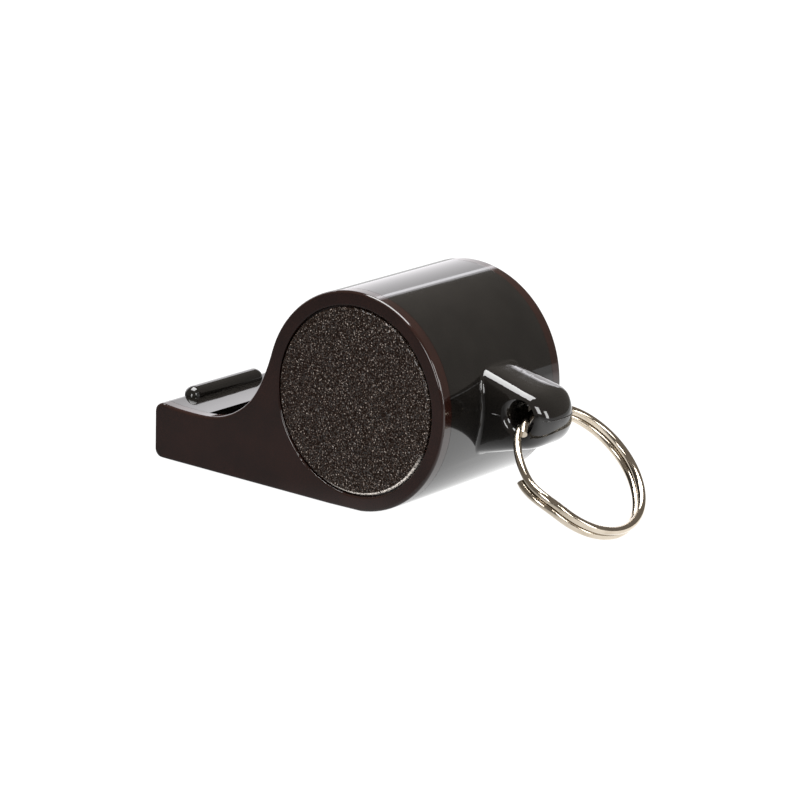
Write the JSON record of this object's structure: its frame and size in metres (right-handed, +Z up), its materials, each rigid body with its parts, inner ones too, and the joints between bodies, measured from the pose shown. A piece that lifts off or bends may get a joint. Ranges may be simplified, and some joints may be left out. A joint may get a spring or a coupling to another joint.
{
  "type": "training whistle",
  "caption": "Moulded whistle with a round pea chamber between side plates, a flat mouthpiece with bite ridge and window, and a lug with a split ring.",
  "frame": {"origin": "on the flat underside, below the barrel's axis, at mid width", "axes": "+Z up, Y along the barrel's axis, -X towards the mouth end and +X towards the lug and ring"},
  "size_m": [0.0542, 0.02, 0.0229],
  "materials": {
    "body_plastic": "glossy moulded black plastic",
    "plate_plastic": "glossy moulded brown-black plastic",
    "inlay": "fine sparkling grain, dark grey-brown",
    "cork": "granulated cork",
    "nickel_wire": "nickel-plated spring wire"
  },
  "bodies": {
    "whistle": {"whistle_body": "body_plastic", "right_side_plate": "plate_plastic", "left_side_plate": "plate_plastic", "right_inlay_disc": "inlay", "left_inlay_disc": "inlay"},
    "pea": {"cork_pea": "cork"},
    "ring": {"split_ring": "nickel_wire"}
  },
  "joints": [
    {"name": "pea_orbit", "type": "hinge", "parent": "whistle", "child": "pea", "pos_m": [0, 0, 0.01145], "axis": [0, 1, 0], "continuous": true},
    {"name": "ring_swing", "type": "hinge", "parent": "whistle", "child": "ring", "pos_m": [0.0161, 0, 0.0115], "axis": [0, -1, 0], "range_deg": [-80, 168]}
  ]
}
